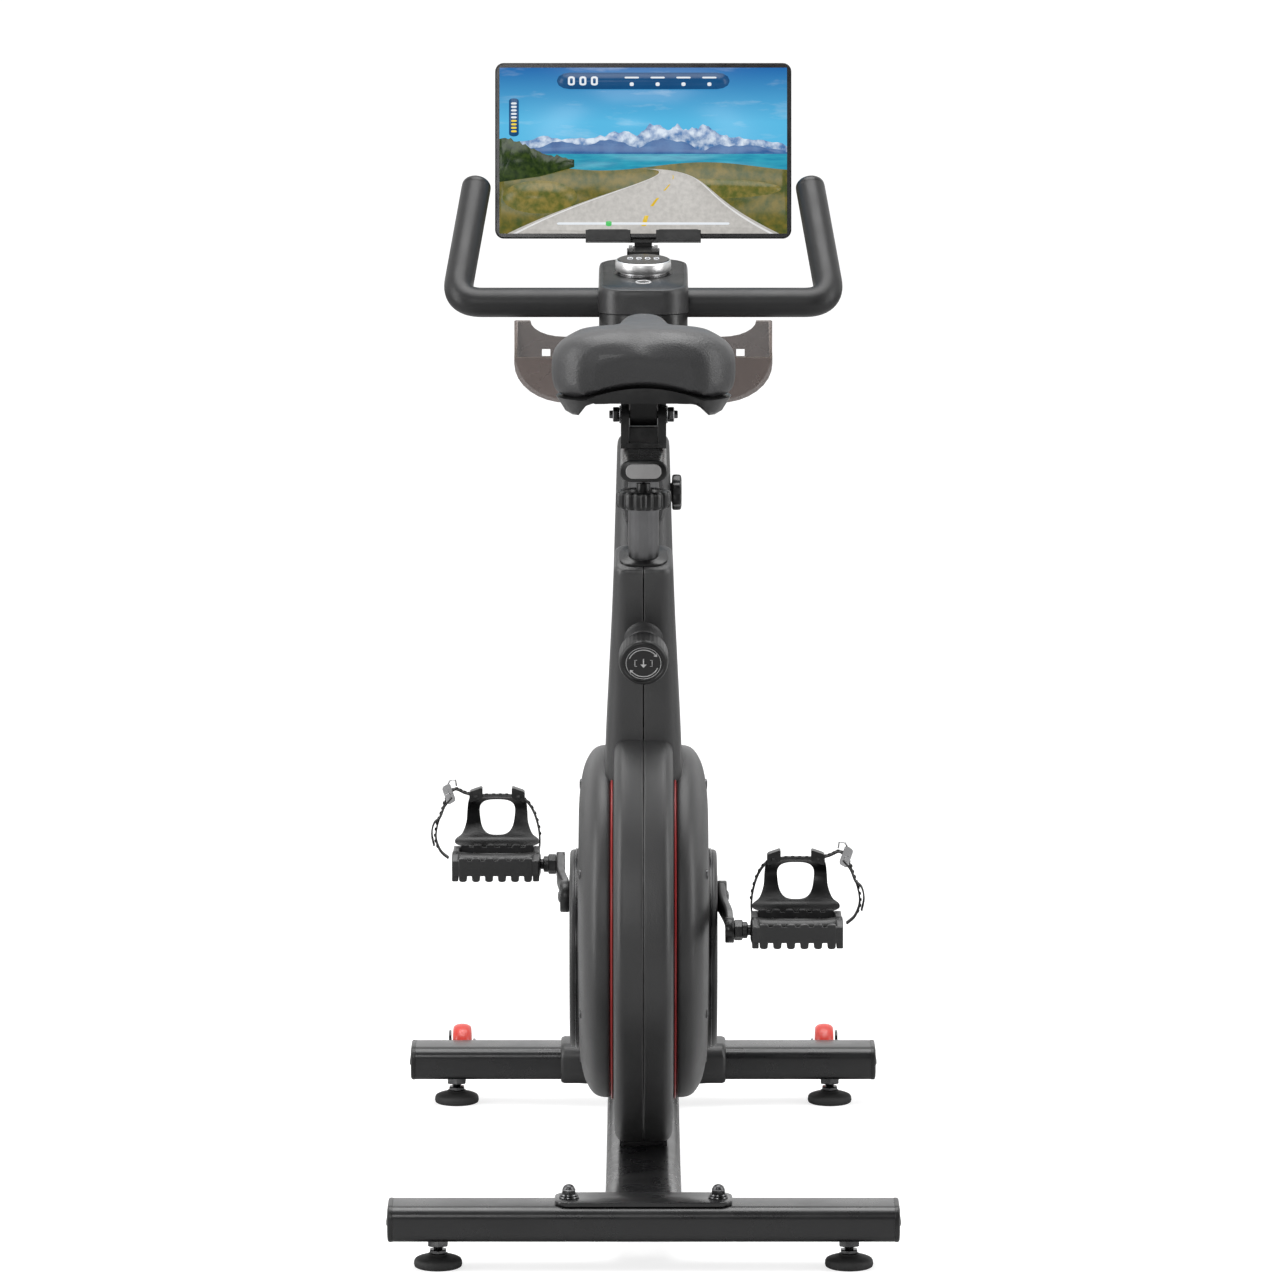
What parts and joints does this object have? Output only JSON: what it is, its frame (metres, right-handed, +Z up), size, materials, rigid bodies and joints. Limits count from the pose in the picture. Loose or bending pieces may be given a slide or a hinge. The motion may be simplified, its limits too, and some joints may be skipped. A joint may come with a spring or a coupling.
{
  "type": "exercise bike",
  "caption": "Upright magnetic exercise bike: disc casing with flywheel, cranks and pedals, adjustable saddle and handlebar, console dial, tray and tablet holder.",
  "frame": {"origin": "middle of the footprint, on the floor", "axes": "+Y is the way the rider faces, +X is the rider's right, +Z is up"},
  "size_m": [0.531, 0.9566, 1.1815],
  "materials": {
    "frame_black": "satin black powder coat",
    "cover_charcoal": "matte grained charcoal plastic",
    "plastic_black": "matte black plastic",
    "plug_grey": "light grey plastic",
    "wheel_red": "coral red, slightly translucent",
    "steel": "turned steel",
    "iron": "machined iron",
    "rubber": "matte black rubber",
    "strap": "soft ribbed strap",
    "saddle_skin": "fine grained synthetic leather",
    "smoked": "smoked translucent plastic",
    "silver": "brushed",
    "screen": "dark glass front"
  },
  "bodies": {
    "root": {"rear_stabiliser_tube": "frame_black", "front_stabiliser_tube": "frame_black", "rear_flange_plate": "frame_black", "base_beam": "frame_black", "frame_core": "frame_black", "seat_tube": "frame_black", "column_tube": "frame_black", "rim_cover_left": "cover_charcoal", "rim_cover_right": "cover_charcoal", "side_cover_left": "cover_charcoal", "side_cover_right": "cover_charcoal", "seat_tube_cover_left": "cover_charcoal", "seat_tube_cover_right": "cover_charcoal", "column_cover_left": "cover_charcoal", "column_cover_right": "cover_charcoal", "rear_end_cap_left": "plastic_black", "rear_end_cap_right": "plastic_black", "front_end_cap_left": "plastic_black", "front_end_cap_right": "plastic_black", "front_shroud": "plastic_black", "side_disc_left": "plastic_black", "side_disc_right": "plastic_black", "seat_tube_bushing": "plastic_black", "drive_belt": "rubber"},
    "crank": {"crank_axle": "steel", "crank_pulley": "plastic_black", "crank_arm_left": "frame_black", "crank_arm_right": "frame_black"},
    "flywheel": {"flywheel": "iron"},
    "pedal_left": {"pedal_body_left": "plastic_black", "toe_cage_left": "plastic_black", "pedal_strap_left": "strap"},
    "pedal_right": {"pedal_body_right": "plastic_black", "toe_cage_right": "plastic_black", "pedal_strap_right": "strap"},
    "brake": {"magnet_bracket": "iron"},
    "seat_post": {"seat_post": "frame_black"},
    "seat_pin": {"seat_pin_knob": "plastic_black"},
    "slider": {"seat_slider": "frame_black", "slider_end_plug": "plug_grey", "saddle_clamp": "plastic_black"},
    "handwheel": {"seat_handwheel": "plastic_black"},
    "saddle": {"saddle_base": "plastic_black", "saddle_pad": "saddle_skin"},
    "handlebar": {"handlebar": "frame_black", "handlebar_post": "frame_black", "console_lower": "plastic_black", "console_upper": "plastic_black", "accessory_tray": "smoked", "holder_neck": "plastic_black"},
    "column_knob": {"handlebar_knob": "plastic_black"},
    "dial": {"console_dial": "silver"},
    "holder": {"tablet_holder": "plastic_black"},
    "tablet": {"tablet": "screen"},
    "wheel_left": {"transport_wheel_left": "wheel_red"},
    "wheel_right": {"transport_wheel_right": "wheel_red"},
    "rear_foot_left": {"rear_foot_left": "rubber"},
    "rear_foot_right": {"rear_foot_right": "rubber"},
    "front_foot_left": {"front_foot_left": "rubber"},
    "front_foot_right": {"front_foot_right": "rubber"}
  },
  "joints": [
    {"name": "crank_turn", "type": "hinge", "parent": "root", "child": "crank", "pos_m": [0, -0.0733, 0.32], "axis": [1, 0, 0], "continuous": true},
    {"name": "flywheel_turn", "type": "hinge", "parent": "root", "child": "flywheel", "pos_m": [0, -0.0083, 0.2], "axis": [1, 0, 0], "continuous": true},
    {"name": "pedal_left_turn", "type": "hinge", "parent": "crank", "child": "pedal_left", "pos_m": [-0.17, 0.09665, 0.32415], "axis": [1, 0, 0], "continuous": true},
    {"name": "pedal_right_turn", "type": "hinge", "parent": "crank", "child": "pedal_right", "pos_m": [0.17, -0.24325, 0.31585], "axis": [1, 0, 0], "continuous": true},
    {"name": "brake_swing", "type": "hinge", "parent": "root", "child": "brake", "pos_m": [0, -0.1053, 0.272], "axis": [1, 0, 0], "range_deg": [-8, 0]},
    {"name": "seat_height", "type": "slide", "parent": "root", "child": "seat_post", "axis": [0, -0.3206, 0.9472], "range_m": [-0.06, 0.12]},
    {"name": "seat_pin_pull", "type": "slide", "parent": "root", "child": "seat_pin", "axis": [0, -0.9472, -0.3206], "range_m": [0, 0.012], "stiffness_N_per_m": 900, "springref_m": -0.002},
    {"name": "seat_reach", "type": "slide", "parent": "seat_post", "child": "slider", "axis": [0, 1, 0], "range_m": [-0.05, 0.015]},
    {"name": "handwheel_turn", "type": "hinge", "parent": "seat_post", "child": "handwheel", "pos_m": [0, -0.3043, 0.785], "axis": [0, 0, 1], "range_deg": [-360, 0]},
    {"name": "saddle_tilt", "type": "hinge", "parent": "slider", "child": "saddle", "pos_m": [0, -0.2333, 0.865], "axis": [1, 0, 0], "range_deg": [-8, 8]},
    {"name": "handlebar_height", "type": "slide", "parent": "root", "child": "handlebar", "axis": [0, 0.4099, 0.9121], "range_m": [0, 0.1]},
    {"name": "column_knob_turn", "type": "hinge", "parent": "root", "child": "column_knob", "pos_m": [0.035, 0.17637, 0.728], "axis": [1, 0, 0], "range_deg": [0, 360]},
    {"name": "dial_turn", "type": "hinge", "parent": "handlebar", "child": "dial", "pos_m": [0, 0.3037, 0.95916], "axis": [0, -0.094, 0.9956], "continuous": true},
    {"name": "holder_tilt", "type": "hinge", "parent": "handlebar", "child": "holder", "pos_m": [0, 0.4547, 0.9655], "axis": [1, 0, 0], "range_deg": [-25, 5]},
    {"name": "tablet_lift", "type": "slide", "parent": "holder", "child": "tablet", "axis": [0, 0.1736, 0.9848], "range_m": [0, 0.05]},
    {"name": "transport_wheel_left_roll", "type": "hinge", "parent": "root", "child": "wheel_left", "pos_m": [-0.2085, 0.4127, 0.0515], "axis": [1, 0, 0], "continuous": true},
    {"name": "transport_wheel_right_roll", "type": "hinge", "parent": "root", "child": "wheel_right", "pos_m": [0.2085, 0.4127, 0.0515], "axis": [1, 0, 0], "continuous": true},
    {"name": "rear_foot_left_turn", "type": "hinge", "parent": "root", "child": "rear_foot_left", "pos_m": [-0.2135, -0.4483, 0], "axis": [0, 0, 1], "continuous": true},
    {"name": "rear_foot_right_turn", "type": "hinge", "parent": "root", "child": "rear_foot_right", "pos_m": [0.2135, -0.4483, 0], "axis": [0, 0, 1], "continuous": true},
    {"name": "front_foot_left_turn", "type": "hinge", "parent": "root", "child": "front_foot_left", "pos_m": [-0.2135, 0.3517, 0], "axis": [0, 0, 1], "continuous": true},
    {"name": "front_foot_right_turn", "type": "hinge", "parent": "root", "child": "front_foot_right", "pos_m": [0.2135, 0.3517, 0], "axis": [0, 0, 1], "continuous": true}
  ],
  "couplings": [
    {"joint": "flywheel_turn", "follows": "crank_turn", "ratio": 4.5}
  ]
}
